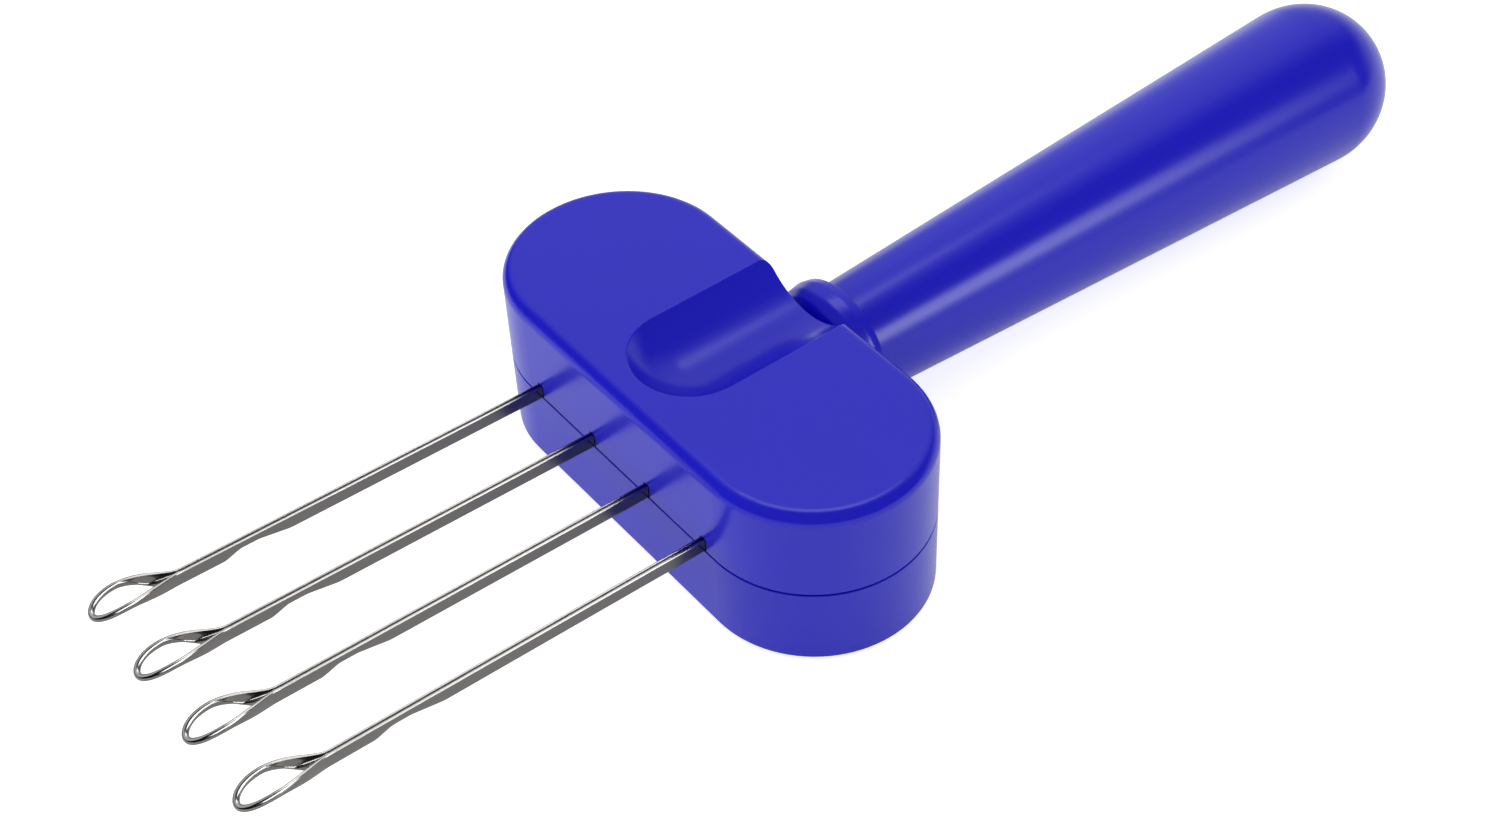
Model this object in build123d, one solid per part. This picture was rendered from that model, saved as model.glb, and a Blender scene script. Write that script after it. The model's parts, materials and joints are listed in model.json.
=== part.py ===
from build123d import *
import math
import os

# A hand tool with four eyelet needles in a two-part plastic head on a tapered round handle.
# Millimetres. X runs from the handle to the needle tips, Y along the needle row, Z up.
# The origin is the centre of the head's flat underside, on which the tool rests.

# Head: a block with round ends, split by a level seam
head_width = 54.5
head_depth = 23.7
upper_height = 10.2
top_edge_radius = 1.3
bottom_edge_bevel = 0.6
seam_bevel = 0.06
seam_line_height = 0.2
seam_line_depth = 0.35
shell_wall = 2.4

# Thumb scoop in the top, open to the back
scoop_width = 12.6
scoop_depth = 3.25
scoop_front_margin = 3.05
scoop_lip_radius = 0.2

# Needles
needle_count = 4
needle_pitch = 9.0
needle_reach = 49.6
needle_rise_degrees = 1.25
blade_width = 0.7
blade_height = 1.5
groove_width = 0.26
groove_depth = 0.3
waist_to_eye = 4.8
waist_length = 7.0
waist_depth = 0.62
waist_floor_shares = (0.47, 0.76)
butt_length = 1.6
butt_depth = 3.0
needle_clearance = 0.1

# Eye at each needle's tip
eye_length = 8.8
eye_width = 3.7
eye_tip_width = 3.1
eye_wire = 0.66
eye_wire_height = 0.72
eye_mid_lift = 1.0
eye_mid_height = 1.1
eye_lift = 1.45
eye_tip_lift = 0.9
eye_channel_length = 1.7
eye_channel_floor = 0.5
eye_widest_share = 0.61
eye_mid_share = 0.33

# Neck shoulder and spigot, half on each shell
neck_radius = 5.6
neck_length = 0.6
spigot_radius = 4.0
socket_depth = 8.5
spigot_clearance = 0.03

# Collar ring
collar_length = 3.7
collar_front_radius = 5.8
collar_shoulder_radius = 7.3
collar_rear_radius = 7.5
collar_shoulder_share = 0.35
collar_rim_bevel = 0.12

# Handle: a cone that ends in a dome
handle_length = 77.6
handle_front_radius = 6.2
handle_front_bevel = 0.3
handle_dome_radius = 9.4

# Headed steel pin that ties the handle to the head
tang_radius = 2.25
tang_length = 52.0
tang_head_radius = 4.0
tang_head_thickness = 3.0
tang_head_flats = 5.6
tang_wall = 5.5
tang_end_bevel = 0.6
tang_clearance = 0.02

# Screws that close the head from below
screw_setback = 8.0
screw_seat_height = 3.5
screw_head_radius = 2.6
screw_head_height = 2.0
screw_head_bevel = 0.5
screw_radius = 1.3
screw_length = 11.5
screw_tip_bevel = 0.5
screw_recess_width = 0.7
screw_recess_span = 3.0
screw_recess_depth = 1.1
screw_hole_clearance = 0.3
screw_pilot_clearance = 0.02
screw_head_clearance = 0.25
screw_tip_room = 1.0

# One overrun lets every cut run past the faces that it opens
overrun = 1.0

# Places that follow from the sizes above
lower_height = handle_dome_radius
seam_z = lower_height
top_z = seam_z + upper_height
front_x = head_depth / 2
back_x = -head_depth / 2
collar_front_x = back_x - neck_length
collar_rear_x = collar_front_x - collar_length
spigot_end_x = collar_rear_x - socket_depth
handle_end_x = collar_rear_x - handle_length
tail_end_x = 0.0
tang_seat_x = back_x + tang_wall
tang_end_x = tang_seat_x - tang_length
screw_x = front_x - screw_setback
eye_root = needle_reach - eye_length
waist_start = eye_root - waist_to_eye - waist_length
needle_places = [(i - (needle_count - 1) / 2) * needle_pitch for i in range(needle_count)]
screw_places = [-needle_pitch, needle_pitch]

os.makedirs("parts", exist_ok=True)


def rod(radius, start_x, end_x):
    """Cylinder on the handle's axis, from start_x back to end_x."""
    end = Plane(origin=(start_x, 0, seam_z), z_dir=(-1, 0, 0))
    return extrude(end * Circle(radius), start_x - end_x)


def block(low_x, high_x, half_width, low_z, high_z):
    """Box between two X and two Z values, centred on the XZ plane."""
    corner = (Align.MIN, Align.CENTER, Align.MIN)
    return Pos(low_x, 0, low_z) * Box(high_x - low_x, 2 * half_width, high_z - low_z, align=corner)


def post(radius, height):
    """Upright cylinder that stands on Z = 0."""
    return Cylinder(radius, height, align=(Align.CENTER, Align.CENTER, Align.MIN))


def side_face(*lines):
    """Face from lines drawn in X and Z."""
    return make_face([Plane.XZ * line for line in lines])


def head_slab(inset, low_z, high_z):
    """Slab with the head's outline, drawn in by inset."""
    outline = SlotOverall(head_width - 2 * inset, head_depth - 2 * inset, rotation=90)
    return Pos(0, 0, low_z) * extrude(outline, high_z - low_z)


def core_pockets(low_z, high_z):
    """Hollows that keep the walls even, round a solid middle for the needles and the tang."""
    outer_needle = needle_places[-1] + blade_width / 2
    needle_block = block(tail_end_x - shell_wall, front_x, outer_needle + shell_wall, low_z, high_z)
    neck_block = block(back_x, tail_end_x, scoop_width / 2 + shell_wall, low_z, high_z)
    return head_slab(shell_wall, low_z, high_z) - needle_block - neck_block


def tang_room():
    """Space for the tang: a flatted pocket for its head and a bore for its shank."""
    head_end_x = tang_seat_x + tang_head_thickness + tang_clearance
    head_room = rod(tang_head_radius + tang_clearance, head_end_x, tang_seat_x)
    flats = Pos(0, 0, seam_z) * Box(head_depth, head_depth, tang_head_flats + 2 * tang_clearance)
    return (head_room & flats) + rod(tang_radius + tang_clearance, tang_seat_x, spigot_end_x - overrun)


def neck():
    """Shoulder behind the head, then the spigot that carries the collar and enters the handle."""
    shoulder = rod(neck_radius, back_x + shell_wall, collar_front_x)
    return shoulder + rod(spigot_radius, back_x, spigot_end_x)


def scoop():
    """Round-bottomed trough, closed in front by a ball of the same radius."""
    radius = (scoop_width**2 / 4 + scoop_depth**2) / (2 * scoop_depth)
    centre_x = front_x - scoop_front_margin - scoop_width / 2
    centre_z = top_z - scoop_depth + radius
    trough_end = Plane(origin=(centre_x, 0, centre_z), z_dir=(-1, 0, 0))
    trough = extrude(trough_end * Circle(radius), centre_x - back_x + overrun)
    return trough + Pos(centre_x, 0, centre_z) * Sphere(radius)


def on_scoop(point):
    """True for a point on the scoop's rim."""
    return abs(point.Y) < scoop_width / 2 + overrun and point.X < front_x - scoop_front_margin + overrun


def upper_shell():
    """Upper half of the head, with the scoop above and the needle slots in its seam face."""
    shell = head_slab(0, seam_z, top_z)
    shell = fillet(shell.edges().group_by(Axis.Z)[-1], top_edge_radius)
    shell = chamfer(shell.edges().group_by(Axis.Z)[0], seam_bevel)
    shell -= scoop()
    lip = [edge for edge in shell.faces().sort_by(Axis.Z)[-1].edges() if on_scoop(edge.center())]
    shell = fillet(lip, scoop_lip_radius)
    shell += neck() & block(spigot_end_x, front_x, neck_radius, seam_z, top_z)
    shell -= core_pockets(seam_z, top_z - shell_wall)
    shell -= tang_room()
    slot_start_x = tail_end_x - needle_clearance
    slot_half = blade_width / 2 + needle_clearance
    slot_top = seam_z + blade_height + needle_clearance
    for y in needle_places:
        shell -= Pos(0, y, 0) * block(slot_start_x, front_x + overrun, slot_half, seam_z, slot_top)
    pilot_depth = screw_seat_height + screw_length + screw_tip_room - seam_z
    for y in screw_places:
        shell -= Pos(screw_x, y, seam_z) * post(screw_radius + screw_pilot_clearance, pilot_depth)
    return shell


def lower_shell():
    """Lower half of the head: its seam edge steps in, butt pockets above, screw holes below."""
    shell = head_slab(0, 0, seam_z - seam_line_height)
    shell = chamfer(shell.edges().group_by(Axis.Z)[0], bottom_edge_bevel)
    shell = chamfer(shell.edges().group_by(Axis.Z)[-1], seam_bevel)
    shell += head_slab(seam_line_depth, bottom_edge_bevel, seam_z)
    shell += neck() & block(spigot_end_x, front_x, neck_radius, 0, seam_z)
    shell -= core_pockets(shell_wall, seam_z)
    shell -= tang_room()
    pocket_ends = (tail_end_x - needle_clearance, tail_end_x + butt_length + needle_clearance)
    pocket_half = blade_width / 2 + needle_clearance
    pocket_floor = seam_z - butt_depth - needle_clearance
    for y in needle_places:
        shell -= Pos(0, y, 0) * block(*pocket_ends, pocket_half, pocket_floor, seam_z)
    for y in screw_places:
        shell -= Pos(screw_x, y, 0) * post(screw_head_radius + screw_head_clearance, screw_seat_height)
        shell -= Pos(screw_x, y, 0) * post(screw_radius + screw_hole_clearance, seam_z)
    return shell


def risen(along, up):
    """Point on a needle, given along and above its underside, once the needle has left the head."""
    angle = math.radians(needle_rise_degrees)
    return (
        front_x + along * math.cos(angle) - up * math.sin(angle),
        seam_z + along * math.sin(angle) + up * math.cos(angle),
    )


def blade():
    """Flat steel blank: the butt and tail in the head, then the rising blade with its waist."""
    waist_floor = [waist_start + share * waist_length for share in waist_floor_shares]
    outline = Polyline(
        (tail_end_x, seam_z + blade_height),
        (tail_end_x, seam_z - butt_depth),
        (tail_end_x + butt_length, seam_z - butt_depth),
        (tail_end_x + butt_length, seam_z),
        (front_x, seam_z),
        risen(waist_start, 0),
        risen(waist_floor[0], waist_depth),
        risen(waist_floor[1], waist_depth),
        risen(waist_start + waist_length, 0),
        risen(eye_root, 0),
        risen(eye_root, blade_height),
        (front_x, seam_z + blade_height),
        close=True,
    )
    return extrude(side_face(outline), blade_width / 2, both=True)


def eye_hull(root, root_half, inset):
    """Teardrop seen from above: a short root edge, the widest circle and the tip circle."""
    wide_x = front_x + needle_reach - eye_length * (1 - eye_widest_share)
    tip_x = front_x + needle_reach - eye_tip_width / 2
    edges = [
        Line((front_x + root, -root_half), (front_x + root, root_half)),
        (Pos(wide_x, 0) * Circle(eye_width / 2 - inset)).edge(),
        (Pos(tip_x, 0) * Circle(eye_tip_width / 2 - inset)).edge(),
    ]
    return make_hull(edges)


def eye_side(start):
    """Side view of the eye: it lifts off the blade's line, thins to wire and dips at the tip."""
    mid = eye_root + eye_mid_share * eye_length
    wide = eye_root + eye_widest_share * eye_length
    end = needle_reach + eye_wire
    along_blade = Vector(*risen(1, 0)) - Vector(*risen(0, 0))

    def edge(side, start_up):
        """Lower edge for side -1, upper edge for side 1."""
        middle = blade_height / 2
        points = [
            risen(eye_root, start_up),
            risen(mid, middle + eye_mid_lift + side * eye_mid_height / 2),
            risen(wide, middle + eye_lift + side * eye_wire_height / 2),
            risen(end, middle + eye_tip_lift + side * eye_wire_height / 2),
        ]
        slope = Vector(*points[-1]) - Vector(*points[-2])
        return Spline(*points, tangents=(along_blade, slope))

    low = edge(-1, 0)
    high = edge(1, blade_height)
    back = Polyline(high @ 0, risen(start, blade_height), risen(start, 0), low @ 0)
    return side_face(low, Line(low @ 1, high @ 1), high, back)


def needle():
    """One needle at the middle of the row: blade, eye, top groove and the channel into the eye."""
    start = eye_root - eye_wire
    tall = seam_z + blade_height + eye_lift + needle_reach
    ring = eye_hull(start, blade_width / 2, 0)
    hole = eye_hull(eye_root + eye_channel_length, groove_width / 2, eye_wire)
    eye = extrude(ring - hole, tall) & extrude(eye_side(start), eye_width, both=True)
    groove = Polyline(
        (tail_end_x - overrun, seam_z + blade_height - groove_depth),
        (front_x, seam_z + blade_height - groove_depth),
        risen(eye_root, blade_height - groove_depth),
        risen(eye_root, blade_height + overrun),
        (tail_end_x - overrun, seam_z + blade_height + overrun),
        close=True,
    )
    channel = eye_hull(eye_root, groove_width / 2, eye_wire)
    whole = blade() + eye
    whole -= extrude(side_face(groove), groove_width / 2, both=True)
    return whole - extrude(Pos(0, 0, risen(eye_root, eye_channel_floor)[1]) * channel, tall)


def collar():
    """Ring with a rounded front and a crisp rear rim, on the spigot."""
    shoulder_x = collar_front_x - collar_shoulder_share * collar_length
    bore = seam_z + spigot_radius + spigot_clearance
    front = (collar_front_x, seam_z + collar_front_radius)
    rear = (collar_rear_x, seam_z + collar_rear_radius)
    crown = ThreePointArc(front, (shoulder_x, seam_z + collar_shoulder_radius), rear)
    sides = Polyline(rear, (collar_rear_x, bore), (collar_front_x, bore), front)
    ring = revolve(side_face(crown, sides), Axis((0, 0, seam_z), (1, 0, 0)))
    rim = ring.edges().filter_by(GeomType.CIRCLE).sort_by(SortBy.RADIUS)[-1]
    return chamfer(rim, collar_rim_bevel)


def handle():
    """Tapered grip with a domed end, bored for the spigot and the tang."""
    centre_x = handle_end_x + handle_dome_radius
    run = collar_rear_x - centre_x
    reach = math.hypot(run, handle_front_radius)
    meet = math.atan2(handle_front_radius, run) + math.acos(handle_dome_radius / reach)

    def on_dome(angle):
        """Point on the dome's outline, where the cone meets it without a step at the angle meet."""
        across = handle_dome_radius * math.cos(angle)
        return (centre_x + across, seam_z + handle_dome_radius * math.sin(angle))

    dome = ThreePointArc(on_dome(meet), on_dome((meet + math.pi) / 2), on_dome(math.pi))
    front = [(collar_rear_x, seam_z), (collar_rear_x, seam_z + handle_front_radius)]
    outline = Polyline(on_dome(math.pi), *front, on_dome(meet))
    grip = revolve(side_face(dome, outline), Axis((0, 0, seam_z), (1, 0, 0)))
    front_edge = grip.edges().filter_by(GeomType.CIRCLE).sort_by(Axis.X)[-1]
    grip = chamfer(front_edge, handle_front_bevel)
    grip -= rod(spigot_radius + spigot_clearance, collar_rear_x, spigot_end_x - spigot_clearance)
    return grip - rod(tang_radius, collar_rear_x, tang_end_x - tang_clearance)


def handle_tang():
    """Steel pin with a flatted head, its shank pressed into the handle."""
    head = rod(tang_head_radius, tang_seat_x + tang_head_thickness, tang_seat_x)
    head &= Pos(0, 0, seam_z) * Box(head_depth, head_depth, tang_head_flats)
    shank = rod(tang_radius, tang_seat_x, tang_end_x)
    shank = chamfer(shank.edges().sort_by(Axis.X)[0], tang_end_bevel)
    return head + shank


def assembly_screws():
    """Two pan-head screws with cross recesses, heads down in the lower shell."""
    head = Pos(0, 0, -screw_head_height) * post(screw_head_radius, screw_head_height)
    head = chamfer(head.edges().group_by(Axis.Z)[0], screw_head_bevel)
    for turn in (0, 90):
        half_span = screw_recess_span / 2
        recess = block(-half_span, half_span, screw_recess_width / 2, 0, screw_recess_depth)
        head -= Pos(0, 0, -screw_head_height) * Rot(0, 0, turn) * recess
    shank = chamfer(post(screw_radius, screw_length).edges().group_by(Axis.Z)[-1], screw_tip_bevel)
    screw = head + shank
    return Compound([Pos(screw_x, y, screw_seat_height) * screw for y in screw_places])


pieces = {
    "upper_shell": upper_shell(),
    "lower_shell": lower_shell(),
    "collar": collar(),
    "handle": handle(),
    "handle_tang": handle_tang(),
    "assembly_screws": assembly_screws(),
}
one_needle = needle()
for number, y in enumerate(needle_places, start=1):
    pieces[f"needle_{number}"] = Pos(0, y, 0) * one_needle

for name, piece in pieces.items():
    export_step(piece, f"parts/{name}.step")
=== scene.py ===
import json
import math

import bpy
import numpy as np
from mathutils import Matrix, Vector

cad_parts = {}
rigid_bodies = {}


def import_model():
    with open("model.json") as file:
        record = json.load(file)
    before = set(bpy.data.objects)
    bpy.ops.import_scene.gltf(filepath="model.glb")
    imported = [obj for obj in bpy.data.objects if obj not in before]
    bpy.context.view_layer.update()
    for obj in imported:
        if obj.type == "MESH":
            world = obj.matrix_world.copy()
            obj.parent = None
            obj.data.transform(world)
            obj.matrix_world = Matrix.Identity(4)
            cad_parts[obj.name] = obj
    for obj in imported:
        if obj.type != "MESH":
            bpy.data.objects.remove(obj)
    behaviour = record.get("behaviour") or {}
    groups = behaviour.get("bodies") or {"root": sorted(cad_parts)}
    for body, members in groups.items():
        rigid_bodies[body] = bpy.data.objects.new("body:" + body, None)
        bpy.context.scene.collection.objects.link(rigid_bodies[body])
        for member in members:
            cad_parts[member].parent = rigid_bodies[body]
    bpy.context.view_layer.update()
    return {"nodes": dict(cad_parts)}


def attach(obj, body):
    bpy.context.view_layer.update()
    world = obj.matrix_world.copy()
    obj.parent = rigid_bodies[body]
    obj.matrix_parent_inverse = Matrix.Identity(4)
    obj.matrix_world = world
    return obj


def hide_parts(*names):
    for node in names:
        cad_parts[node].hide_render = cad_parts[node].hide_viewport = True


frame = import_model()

# Eyelet needles: four flat spring-steel blanks that stand in a row in the front of the head.
# Each is stamped with a groove along its top, hollowed below the waist, slit at the tip and spread
# into an eye of round wire, then hardened, nickel plated and polished. Their tails lie in the head.
MM = 0.001
FACE_X, SEAM_Z = 11.85, 9.4
NEEDLE_PLACES = (-13.5, -4.5, 4.5, 13.5)
NEEDLE_RISES = (1.28, 1.4, 1.24, 1.1)
TAIL, BUTT, BUTT_DEPTH = -11.85, 1.6, 3.0
BLADE_HEIGHT, GROOVE_DEPTH = 1.5, 0.3
WAIST_AT, WAIST_LOW = (29.0, 32.3, 34.3, 36.0), (0.0, 0.62, 0.62, 0.0)
# The half of the blade on one side of the groove: how far out its middle lies, and its thickness
HALF_OUT, HALF_THICK = 0.24, 0.22
# The eye by stations along the needle: the strip's place across, thickness, height and lift
SPREAD_FROM = 36.0
EYE_ALONG = (36.0, 40.3, 41.0, 42.0, 43.0, 44.0, 45.0, 46.0, 47.0, 47.8, 48.4, 48.85, 49.12, 49.25, 49.28)
EYE_ACROSS = (0.24, 0.24, 0.3, 0.6, 0.95, 1.25, 1.47, 1.58, 1.54, 1.4, 1.17, 0.87, 0.55, 0.25, 0.0)
EYE_THICK = (0.22, 0.22, 0.24, 0.28, 0.34, 0.42, 0.54, 0.64, 0.66, 0.66, 0.66, 0.66, 0.66, 0.66, 0.66)
EYE_TALL = (1.5, 1.5, 1.48, 1.4, 1.25, 1.08, 0.9, 0.76, 0.7, 0.68, 0.67, 0.66, 0.66, 0.66, 0.66)
EYE_LIFT = (0.0, 0.0, 0.08, 0.34, 0.65, 0.94, 1.14, 1.24, 1.18, 1.05, 0.9, 0.75, 0.62, 0.55, 0.52)
EYE_STEPS = 170
# Rounds on the blade's outer edges, on the groove's lips and on the corners at the middle
EDGE_ROUND, LIP_ROUND, FINE_ROUND = 0.12, 0.05, 0.004
# The groove's floor drops into the eye, its foot draws back, and the strip turns into round wire
FLOOR_DROP, FLOOR_FROM, FLOOR_RUN, FLOOR_LEAST = 0.85, 40.7, 2.5, 0.12
FOOT_REACH, FOOT_FROM, FOOT_RUN = 0.62, 42.2, 2.0
WIRE_FROM, WIRE_RUN = 43.2, 2.8
CORNER_STEPS = 5


def closed_sweep(name, rows):
    """Mesh over a grid of points in millimetres. Rows follow the path and columns run round the
    profile, anticlockwise seen from the end. Each end row is closed by a fan to its middle."""
    count, around = rows.shape[:2]
    corner = np.arange(count * around).reshape(count, around)
    beside = np.roll(corner, -1, axis=1)
    quads = np.stack([corner[:-1], beside[:-1], beside[1:], corner[1:]], axis=-1).reshape(-1, 4)
    start = np.stack([np.full(around, count * around), beside[0], corner[0]], axis=-1)
    end = np.stack([np.full(around, count * around + 1), corner[-1], beside[-1]], axis=-1)
    middles = np.stack([rows[0].mean(axis=0), rows[-1].mean(axis=0)])
    points = np.concatenate([rows.reshape(-1, 3), middles]) * MM
    mesh = bpy.data.meshes.new(name)
    mesh.from_pydata(points.tolist(), [], quads.tolist() + start.tolist() + end.tolist())
    mesh.polygons.foreach_set("use_smooth", np.ones(len(mesh.polygons), dtype=bool))
    piece = bpy.data.objects.new(name, mesh)
    bpy.context.scene.collection.objects.link(piece)
    piece.modifiers.new("flats stay flat", "WEIGHTED_NORMAL")
    return piece


def evened(values, span):
    """Running mean over span samples, which rounds the corners between the stations."""
    padded = np.pad(values, span // 2, mode="edge")
    return np.convolve(padded, np.full(span, 1 / span), mode="valid")


def needle_rows(place, degrees):
    """One strip of steel followed from its tail out along one side of the needle, round the eye and
    back along the other side. Its section turns from half of the grooved blade, an L whose foot
    reaches the middle, into an ellipse: section = (1 - m) * L + m * ellipse, with m a smooth step."""
    # Stations of the strip's middle, by length along the eye
    run = np.concatenate([[0], np.cumsum(np.hypot(np.diff(EYE_ALONG), np.diff(EYE_ACROSS)))])
    at = np.linspace(0, run[-1], EYE_STEPS)
    tables = (EYE_ALONG, EYE_ACROSS, EYE_THICK, EYE_TALL, EYE_LIFT)
    half = [np.interp(at, run, table) for table in tables]
    mirror = [np.concatenate([side, sign * side[-2::-1]]) for side, sign in zip(half, (1, -1, 1, 1, 1))]
    along, across, thick, tall, lift = [evened(values, 9) for values in mirror]
    # The straight blade, with close rows at the butt, at the face and at the waist
    straight = np.concatenate([
        [TAIL, TAIL + 0.02, TAIL + BUTT - 0.02, TAIL + BUTT, -0.04, 0.04],
        np.linspace(1, WAIST_AT[0] - 0.5, 12),
        np.arange(WAIST_AT[0] - 0.3, SPREAD_FROM - 0.05, 0.2),
    ])
    plain = np.ones_like(straight)
    along = np.concatenate([straight, along, straight[::-1]])
    across = np.concatenate([HALF_OUT * plain, across, -HALF_OUT * plain])
    thick = np.concatenate([HALF_THICK * plain, thick, HALF_THICK * plain])
    tall = np.concatenate([BLADE_HEIGHT * plain, tall, BLADE_HEIGHT * plain])
    lift = np.concatenate([0 * plain, lift, 0 * plain])
    middle = BLADE_HEIGHT / 2 + lift
    top = middle + tall / 2
    low = middle - tall / 2 + evened(np.interp(along, WAIST_AT, WAIST_LOW), 3)
    low = np.where(along < TAIL + BUTT - 0.01, -BUTT_DEPTH, low)
    # Directions: t along the strip, n outward in plan, u upward
    t = np.stack([np.gradient(along), np.gradient(across), np.gradient(lift)], axis=-1)
    t /= np.linalg.norm(t, axis=1, keepdims=True)
    n = np.stack([-t[:, 1], t[:, 0], 0 * t[:, 0]], axis=-1)
    n /= np.linalg.norm(n, axis=1, keepdims=True)
    u = np.cross(t, n)
    # Half of the blade's section: six corners, each an arc
    outer = thick / 2
    inner = -outer
    to_middle = np.abs(across) / np.maximum(np.abs(n[:, 1]), 0.3)
    spread = np.clip((along - FOOT_FROM) / FOOT_RUN, 0, 1)
    foot = -np.minimum(to_middle, (1 - spread) * FOOT_REACH + spread * outer)
    foot = np.minimum(foot, inner - 0.02)
    floor = top - GROOVE_DEPTH - FLOOR_DROP * np.clip((along - FLOOR_FROM) / FLOOR_RUN, 0, 1)
    floor = np.maximum(floor, low + FLOOR_LEAST)
    cove = np.clip(0.8 * (inner - foot), 0.015, 0.3)
    edge, lip, fine = EDGE_ROUND + 0 * top, LIP_ROUND + 0 * top, FINE_ROUND + 0 * top
    corners_out = np.stack([outer - edge, outer - edge, inner + lip, inner - cove, foot + fine, foot + fine])
    corners_up = np.stack([low + edge, top - edge, top - lip, floor + cove, floor - fine, low + fine])
    radii = np.stack([edge, edge, lip, cove, fine, fine])
    starts = np.radians([-90, 0, 90, 0, 90, 180])
    turns = np.radians([90, 90, 90, -90, 90, 90])
    angles = starts[:, None] + turns[:, None] * np.linspace(0, 1, CORNER_STEPS)
    out = corners_out.T[..., None] + radii.T[..., None] * np.cos(angles)
    up = corners_up.T[..., None] + radii.T[..., None] * np.sin(angles) - middle[:, None, None]
    out, up = out.reshape(len(top), -1), up.reshape(len(top), -1)
    # The round wire's section, with its points kept near the corners that they come from
    sides = [(-84, -6), (6, 84), (94, 118), (124, 150), (156, 200), (206, 266)]
    wire = np.radians(np.concatenate([np.linspace(*side, CORNER_STEPS) for side in sides]))
    m = np.clip((along - WIRE_FROM) / WIRE_RUN, 0, 1)
    m = (m * m * (3 - 2 * m))[:, None]
    out = (1 - m) * out + m * outer[:, None] * np.cos(wire)
    up = (1 - m) * up + m * (tall / 2)[:, None] * np.sin(wire)
    centre = np.stack([along, across, middle], axis=-1)
    local = centre[:, None] + out[..., None] * n[:, None] + up[..., None] * u[:, None]
    # Out of the face the needle rises a little; inside the head it lies level
    rise = np.where(local[..., 0] > 0, math.radians(degrees), 0)
    x = FACE_X + local[..., 0] * np.cos(rise) - local[..., 2] * np.sin(rise)
    z = SEAM_Z + local[..., 0] * np.sin(rise) + local[..., 2] * np.cos(rise)
    return np.stack([x, place + local[..., 1], z], axis=-1)


def linear(hex_colour):
    """Linear RGBA of an sRGB hex colour."""
    parts = np.array([int(hex_colour[i:i + 2], 16) / 255 for i in (0, 2, 4)])
    lit = np.where(parts <= 0.04045, parts / 12.92, ((parts + 0.055) / 1.055) ** 2.4)
    return (*lit.tolist(), 1.0)


def add_node(tree, kind, settings=None, **links):
    """Adds one node; settings go on the node or its sockets, links join its sockets to outputs."""
    node = tree.nodes.new(kind)
    for key, value in (settings or {}).items():
        if isinstance(key, str) and hasattr(node, key):
            setattr(node, key, value)
        else:
            node.inputs[key].default_value = value
    for key, output in links.items():
        name = key.replace("_", " ")
        tree.links.new(output, node.inputs[int(key[1:]) if key[1:].isdigit() else name])
    return node


# Nickel plating over hardened steel, polished: a dark neutral mirror. Its colour is painted lighter where the
# surface faces up and darker on the flanks: a painted highlight on the tops and painted shade on the sides.
# Drawing marks run lengthwise and stretch each highlight along the needle.
# Real ones are a few hundredths of a millimetre apart; here they are 0.25 mm apart and 17 mm long.
nickel = bpy.data.materials.new("polished_nickel_plate")
nickel.use_nodes = True
tree = nickel.node_tree
shader = tree.nodes["Principled BSDF"]
shader.inputs["Metallic"].default_value = 1.0
coords = add_node(tree, "ShaderNodeTexCoord")
lengthwise = add_node(tree, "ShaderNodeMapping", {"Scale": (60, 4000, 4000)}, Vector=coords.outputs["Object"])
lines = add_node(tree, "ShaderNodeTexNoise", {"Scale": 1.0, "Detail": 3.0}, Vector=lengthwise.outputs[0])
finish = add_node(tree, "ShaderNodeMapRange", {"To Min": 0.14, "To Max": 0.24}, Value=lines.outputs[0])
surface = add_node(tree, "ShaderNodeNewGeometry")
facing = add_node(tree, "ShaderNodeSeparateXYZ", i0=surface.outputs["Normal"])
# Painted highlight and shade: the colour goes from the dark tone on the flanks to the light tone on faces
# that look up
painted_top_highlight = add_node(tree, "ShaderNodeMapRange", {"From Min": 0.15, "From Max": 0.6}, Value=facing.outputs["Z"])
tone = add_node(tree, "ShaderNodeMix", {"data_type": "RGBA", 6: linear("72706e"), 7: linear("aaa8a6")},
                i0=painted_top_highlight.outputs[0])
tree.links.new(tone.outputs[2], shader.inputs["Base Color"])
tree.links.new(finish.outputs[0], shader.inputs["Roughness"])

for number, (place, degrees) in enumerate(zip(NEEDLE_PLACES, NEEDLE_RISES), start=1):
    needle = closed_sweep(f"eyelet_needle_{number}", needle_rows(place, degrees))
    needle.data.materials.append(nickel)
    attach(needle, "root")
    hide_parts(f"needle_{number}")

# Head: two shells moulded in blue ABS that meet at a level seam. The upper one has the thumb scoop and
# the needle slots, the lower one the pockets for the needles' butts. Two screws from below close them.

# ABS from a finely blasted mould: a satin skin that spreads each reflection softly over a deep blue.
# The blue drifts faintly over 7 mm, as the melt flowed. The grain is 0.2 mm, coarser than the real one.
blue = bpy.data.materials.new("moulded_blue_abs")
blue.use_nodes = True
tree = blue.node_tree
shader = tree.nodes["Principled BSDF"]
shader.inputs["IOR"].default_value = 1.5
coords = add_node(tree, "ShaderNodeTexCoord")
flow = add_node(tree, "ShaderNodeTexNoise", {"Scale": 140.0, "Detail": 1.0}, Vector=coords.outputs["Object"])
tone = add_node(tree, "ShaderNodeMix", {"data_type": "RGBA", 6: linear("0804be"), 7: linear("0a05c6")},
                i0=flow.outputs[0])
tree.links.new(tone.outputs[2], shader.inputs["Base Color"])
grain = add_node(tree, "ShaderNodeTexNoise", {"Scale": 5000.0, "Detail": 2.0},
                 Vector=coords.outputs["Object"])
finish = add_node(tree, "ShaderNodeMapRange", {"To Min": 0.22, "To Max": 0.28}, Value=grain.outputs[0])
tree.links.new(finish.outputs[0], shader.inputs["Roughness"])
bump = add_node(tree, "ShaderNodeBump", {"Strength": 0.08, "Distance": 0.00003}, Height=grain.outputs[0])
tree.links.new(bump.outputs[0], shader.inputs["Normal"])
for name in ("upper_shell", "lower_shell"):
    frame["nodes"][name].data.materials.clear()
    frame["nodes"][name].data.materials.append(blue)

# Fastenings: two self-tapping screws that close the head from below, and the headed pin whose flatted
# head the shells trap and whose shank is pressed into the handle. Both are headed cold from steel wire.

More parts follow.
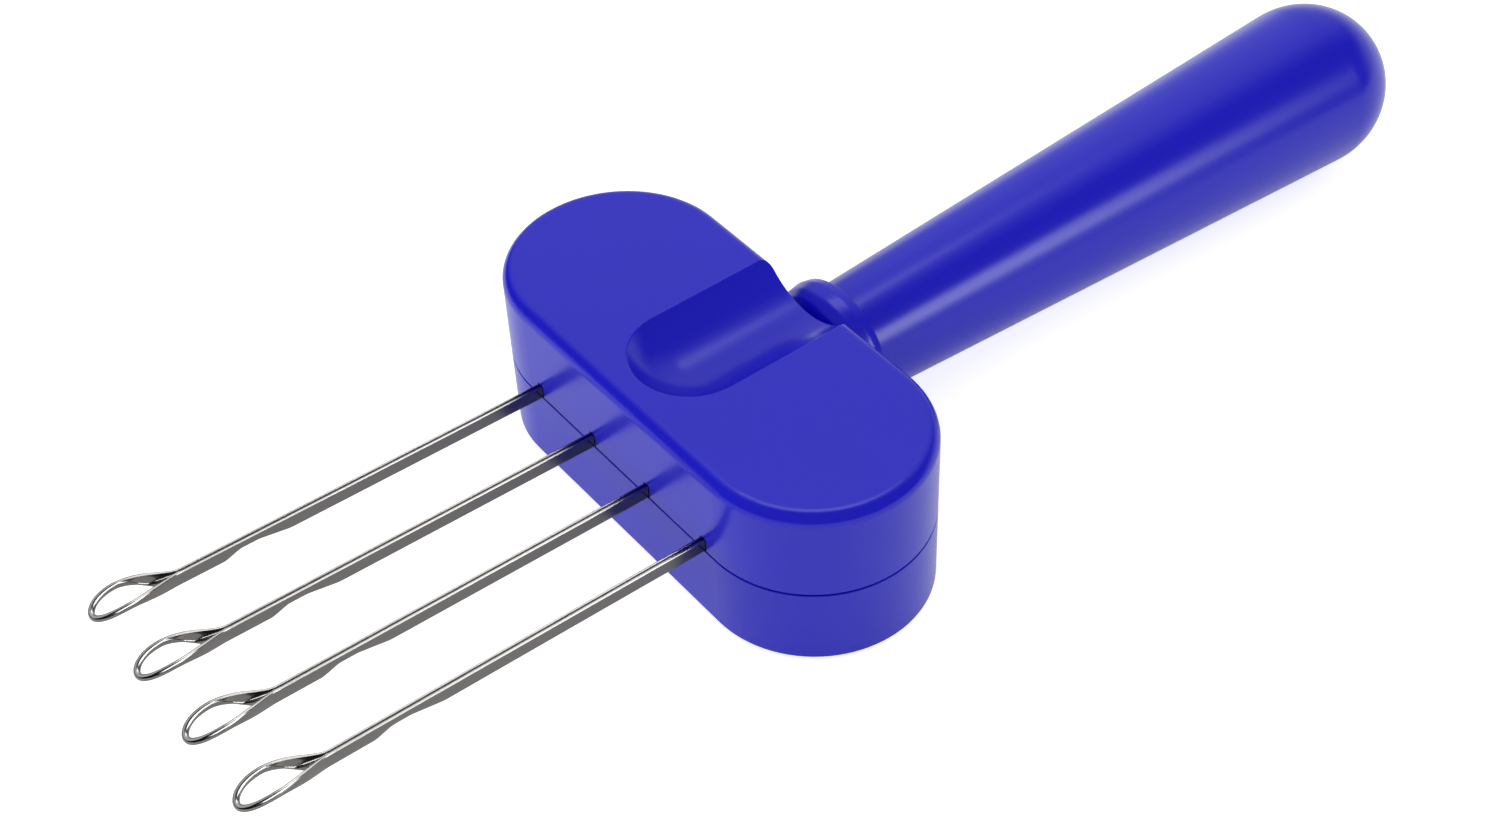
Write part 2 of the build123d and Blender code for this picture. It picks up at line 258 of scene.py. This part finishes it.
# Zinc plating on steel: a pale, slightly blue grey, dulled in fine patches. They are 0.4 mm across here,
# coarser than on real plating, where they would not show.
zinc = bpy.data.materials.new("zinc_plated_steel")
zinc.use_nodes = True
tree = zinc.node_tree
shader = tree.nodes["Principled BSDF"]
shader.inputs["Metallic"].default_value = 1.0
coords = add_node(tree, "ShaderNodeTexCoord")
patches = add_node(tree, "ShaderNodeTexNoise", {"Scale": 2500.0, "Detail": 3.0},
                   Vector=coords.outputs["Object"])
tone = add_node(tree, "ShaderNodeMix", {"data_type": "RGBA", 6: linear("a9aeb5"), 7: linear("c6cacd")},
                i0=patches.outputs[0])
tree.links.new(tone.outputs[2], shader.inputs["Base Color"])
finish = add_node(tree, "ShaderNodeMapRange", {"To Min": 0.28, "To Max": 0.44}, Value=patches.outputs[0])
tree.links.new(finish.outputs[0], shader.inputs["Roughness"])
for name in ("assembly_screws", "handle_tang"):
    frame["nodes"][name].data.materials.clear()
    frame["nodes"][name].data.materials.append(zinc)

# Collar: a bead-shaped ring moulded in the same blue ABS and slid over the spigot before the handle.
# Its crown is soft all round, and its rear rim is crisp where it butts against the handle.
COLLAR_FRONT, COLLAR_REAR, BORE = -12.45, -16.15, 4.03
COLLAR_TURN = 128


def rounded(corners, steps=8):
    """Outline through corners (along, radius, rounding): each corner becomes a circular arc, as the
    rational curve ((1-k)^2 A + 2k(1-k) w P + k^2 B) / ((1-k)^2 + 2k(1-k) w + k^2), where A and B
    are where the arc leaves the straight runs and w is the cosine of half the turn."""
    table = np.array(corners, dtype=float)
    point, size = table[1:-1, :2], table[1:-1, 2:]
    back, ahead = table[:-2, :2] - point, table[2:, :2] - point
    back /= np.linalg.norm(back, axis=1, keepdims=True)
    ahead /= np.linalg.norm(ahead, axis=1, keepdims=True)
    half = np.arccos(np.clip((back * ahead).sum(axis=1, keepdims=True), -1, 1)) / 2
    cut = np.maximum(size, 0.002) / np.tan(half)
    first, last, weight = point + back * cut, point + ahead * cut, np.sin(half)[:, None]
    k = np.linspace(0, 1, steps)[None, :, None]
    pull = 2 * k * (1 - k) * weight
    parts = [(1 - k) ** 2 * first[:, None], pull * point[:, None], k ** 2 * last[:, None]]
    arcs = (sum(parts) / ((1 - k) ** 2 + pull + k ** 2)).reshape(-1, 2)
    return np.concatenate([table[:1, :2], arcs, table[-1:, :2]])


def turned(name, outline, around):
    """Solid of revolution about the handle's axis: each outline point (x, r) runs round as
    (x, r cos a, -r sin a), so an outline that goes from front to back faces outward."""
    angle = np.linspace(0, 2 * np.pi, around, endpoint=False)
    x = np.repeat(outline[:, :1], around, axis=1)
    y = outline[:, 1:] * np.cos(angle)
    z = SEAM_Z - outline[:, 1:] * np.sin(angle)
    return closed_sweep(name, np.stack([x, y, z], axis=-1))


collar_outline = rounded([
    (COLLAR_REAR, BORE, 0), (COLLAR_FRONT, BORE, 0), (COLLAR_FRONT, 5.8, 0.25), (-13.0, 6.9, 0.8),
    (-13.9, 7.45, 1.2), (-15.2, 7.67, 1.5), (COLLAR_REAR, 7.5, 0.12), (COLLAR_REAR, BORE, 0),
])
collar = turned("collar_ring", collar_outline, COLLAR_TURN)
collar.data.materials.append(blue)
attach(collar, "root")
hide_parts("collar")

# Handle: a tapered grip with a domed end, moulded in the same blue ABS. It is bored for the spigot and,
# deeper, for the pin, on which it is pressed until its softly rounded front rim meets the collar.
SPIGOT_END, PIN_END, PIN_BORE = -24.7, -46.0, 2.26
FRONT_RADIUS, FRONT_ROUND = 6.2, 0.35
DOME_RADIUS, DOME_X, DOME_FROM, DOME_STEPS = 9.4, -84.35, 87.3, 48
HANDLE_TURN = 160
dome = np.linspace(math.radians(DOME_FROM), math.pi, DOME_STEPS)
dome_points = np.stack([DOME_X + DOME_RADIUS * np.cos(dome), DOME_RADIUS * np.sin(dome)], axis=-1)
handle_outline = np.concatenate([
    rounded([
        (PIN_END, 0, 0), (PIN_END, PIN_BORE, 0), (SPIGOT_END, PIN_BORE, 0), (SPIGOT_END, BORE, 0),
        (COLLAR_REAR, BORE, 0.05), (COLLAR_REAR, FRONT_RADIUS, FRONT_ROUND), (*dome_points[0], 0),
    ]),
    dome_points[1:],
])
handle = turned("handle_grip", handle_outline, HANDLE_TURN)
handle.data.materials.append(blue)
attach(handle, "root")
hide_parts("handle")

# Floor: a wide sheet of white background paper laid flat. It lies a tenth of a millimetre below the
# tool, so that the two never share a plane.
FLOOR_HALF, FLOOR_Z = 3, -0.0001
corners = [(FLOOR_HALF * x, FLOOR_HALF * y, FLOOR_Z) for x, y in ((-1, -1), (1, -1), (1, 1), (-1, 1))]
floor_mesh = bpy.data.meshes.new("studio_floor")
floor_mesh.from_pydata(corners, [], [(0, 1, 2, 3)])
floor = bpy.data.objects.new("studio_floor", floor_mesh)
bpy.context.scene.collection.objects.link(floor)

# Uncoated white paper: fully matt, so that it shows a shadow and no sheen. The lift brings it to white
# for the camera and through clear things. In reflections it gets 0.43 of that lift, a share worked out
# so that the open floor comes to 1.0 there too.
FLOOR_LIFT, REFLECTED_SHARE = 0.7, 0.43
paper = bpy.data.materials.new("white_paper")
paper.use_nodes = True
tree = paper.node_tree
shader = tree.nodes["Principled BSDF"]
shader.inputs["Base Color"].default_value = linear("e0e0e0")
shader.inputs["Roughness"].default_value = 1.0
shader.inputs["Specular IOR Level"].default_value = 0.0
rays = add_node(tree, "ShaderNodeLightPath")
seen = add_node(tree, "ShaderNodeMath", {"operation": "ADD", "use_clamp": True},
                i0=rays.outputs["Is Camera Ray"], i1=rays.outputs["Is Transmission Ray"])
seen = add_node(tree, "ShaderNodeMath", {"operation": "MULTIPLY_ADD", 1: REFLECTED_SHARE},
                i0=rays.outputs["Is Glossy Ray"], i2=seen.outputs[0])
lift = add_node(tree, "ShaderNodeMath", {"operation": "MULTIPLY", 1: FLOOR_LIFT}, i0=seen.outputs[0])
shader.inputs["Emission Color"].default_value = (1, 1, 1, 1)
tree.links.new(lift.outputs[0], shader.inputs["Emission Strength"])
floor.data.materials.append(paper)

# Studio: a plain pale room, white to the camera and through clear things. The plastic and the metal do
# not mirror that white. They mirror a window on the far side, a pale horizon at the back and dim walls,
# because the picture's reflections are dark.
ROOM_LIGHT = 0.94
# Where each glow's middle lies, in degrees, the cosines of the angles from it at which it starts and is
# full, and how strong it is. The horizon also fades upward, between two sines of the height.
WINDOW_AT, WINDOW_RIM, WINDOW_FULL, WINDOW_GLOW = (-128, 42), 0.62, 1.0, 0.7
HORIZON_AT, HORIZON_RIM, HORIZON_FULL, HORIZON_GLOW = (-160, 0), 0.5, 0.9, 0.75
HORIZON_LOW, HORIZON_HIGH = 0.14, 0.47
scene = bpy.context.scene
world = bpy.data.worlds.new("studio")
scene.world = world
world.use_nodes = True
tree = world.node_tree


def toward(azimuth, elevation):
    """Unit vector toward a direction given in degrees from +X toward +Y, and upward."""
    a, e = math.radians(azimuth), math.radians(elevation)
    return Vector((math.cos(a) * math.cos(e), math.sin(a) * math.cos(e), math.sin(e)))


rays = add_node(tree, "ShaderNodeLightPath")
direction = add_node(tree, "ShaderNodeTexCoord").outputs["Generated"]
to_window = add_node(tree, "ShaderNodeVectorMath", {"operation": "DOT_PRODUCT", 1: toward(*WINDOW_AT)},
                     i0=direction)
window = add_node(tree, "ShaderNodeMapRange",
                  {"interpolation_type": "SMOOTHSTEP", "From Min": WINDOW_RIM, "From Max": WINDOW_FULL,
                   "To Min": 0.0, "To Max": WINDOW_GLOW}, Value=to_window.outputs["Value"])
to_back = add_node(tree, "ShaderNodeVectorMath", {"operation": "DOT_PRODUCT", 1: toward(*HORIZON_AT)},
                   i0=direction)
back = add_node(tree, "ShaderNodeMapRange",
                {"interpolation_type": "SMOOTHSTEP", "From Min": HORIZON_RIM, "From Max": HORIZON_FULL,
                 "To Min": 0.0, "To Max": HORIZON_GLOW}, Value=to_back.outputs["Value"])
height = add_node(tree, "ShaderNodeSeparateXYZ", i0=direction)
low = add_node(tree, "ShaderNodeMapRange",
               {"interpolation_type": "SMOOTHSTEP", "From Min": HORIZON_LOW, "From Max": HORIZON_HIGH,
                "To Min": 1.0, "To Max": 0.0}, Value=height.outputs["Z"])
horizon = add_node(tree, "ShaderNodeMath", {"operation": "MULTIPLY"}, i0=back.outputs[0], i1=low.outputs[0])
glow = add_node(tree, "ShaderNodeMath", {"operation": "MAXIMUM"}, i0=window.outputs[0], i1=horizon.outputs[0])
room = add_node(tree, "ShaderNodeMath", {"operation": "MULTIPLY", 1: ROOM_LIGHT},
                i0=rays.outputs["Is Diffuse Ray"])
level = add_node(tree, "ShaderNodeMath", {"operation": "MAXIMUM"}, i0=room.outputs[0], i1=glow.outputs[0])
seen = add_node(tree, "ShaderNodeMath", {"operation": "ADD", "use_clamp": True},
                i0=rays.outputs["Is Camera Ray"], i1=rays.outputs["Is Transmission Ray"])
white = add_node(tree, "ShaderNodeMath", {"operation": "MAXIMUM"}, i0=level.outputs[0], i1=seen.outputs[0])
tree.links.new(white.outputs[0], tree.nodes["Background"].inputs["Color"])

# Lamps: softboxes set by direction and distance from the head. The first five make highlights only.
# The picture's highlights on metal and on the head need different lamps, so each of the five lights
# a group of pieces. The fill lights without a highlight, and the overhead one makes one on everything.


def softbox(name, azimuth, elevation, distance, width, height, watts):
    """Area lamp in a direction from the head, turned to face it."""
    lamp = bpy.data.objects.new(name, bpy.data.lights.new(name, "AREA"))
    lamp.data.shape = "RECTANGLE"
    lamp.data.size, lamp.data.size_y = width, height
    lamp.data.energy = watts
    lamp.location = toward(azimuth, elevation) * distance
    lamp.rotation_euler = toward(azimuth, elevation).to_track_quat("Z", "Y").to_euler()
    scene.collection.objects.link(lamp)
    return lamp


def pieces_named(title, starts):
    """Collection of the pieces that one lamp reaches."""
    group = bpy.data.collections.new(title)
    for piece in [obj for obj in scene.objects if obj.name.startswith(starts)]:
        group.objects.link(piece)
    return group


turned_and_needles = pieces_named("handle_collar_needles", ("eyelet", "collar", "handle"))
needles_only = pieces_named("needles_only", ("eyelet",))
for name, azimuth, elevation, distance, width, height, watts, group in (
        ("side_softbox", 117, 27, 0.8, 0.3, 0.24, 1.2, turned_and_needles),
        ("side_reflector", 110, 8, 0.8, 0.5, 0.3, 0.38, turned_and_needles),
        ("needle_near_card", 100, 46, 0.5, 0.58, 0.3, 2.0, needles_only),
        ("needle_top_card", -138, 54, 0.5, 0.42, 0.36, 0.55, needles_only),
        ("needle_front_card", -50, 40, 0.5, 0.45, 0.35, 0.4, needles_only)):
    lamp = softbox(name, azimuth, elevation, distance, width, height, watts)
    lamp.visible_diffuse = False
    lamp.light_linking.receiver_collection = group
front = softbox("front_fill", -45, 8, 0.8, 0.4, 0.2, 1.5)
front.visible_glossy = False
overhead = softbox("overhead_softbox", -130, 68, 0.8, 0.36, 0.26, 0.55)
overhead.visible_diffuse = False

# Camera: it looks down on the tool from the needles' near side, at the picture's own angle, with a
# lens of 56 mm on a 36 mm wide frame.
camera = bpy.data.objects.new("camera", bpy.data.cameras.new("camera"))
scene.collection.objects.link(camera)
scene.camera = camera
camera.data.sensor_width = 36.0
camera.data.lens = 56.2534
camera.data.clip_start = 0.01
camera.location = (0.0958677, 0.1366672, 0.1720802)
camera.rotation_euler = [math.radians(turn) for turn in (45.75462751, 1.77546342, 142.07888725)]

scene.view_settings.view_transform = "Standard"
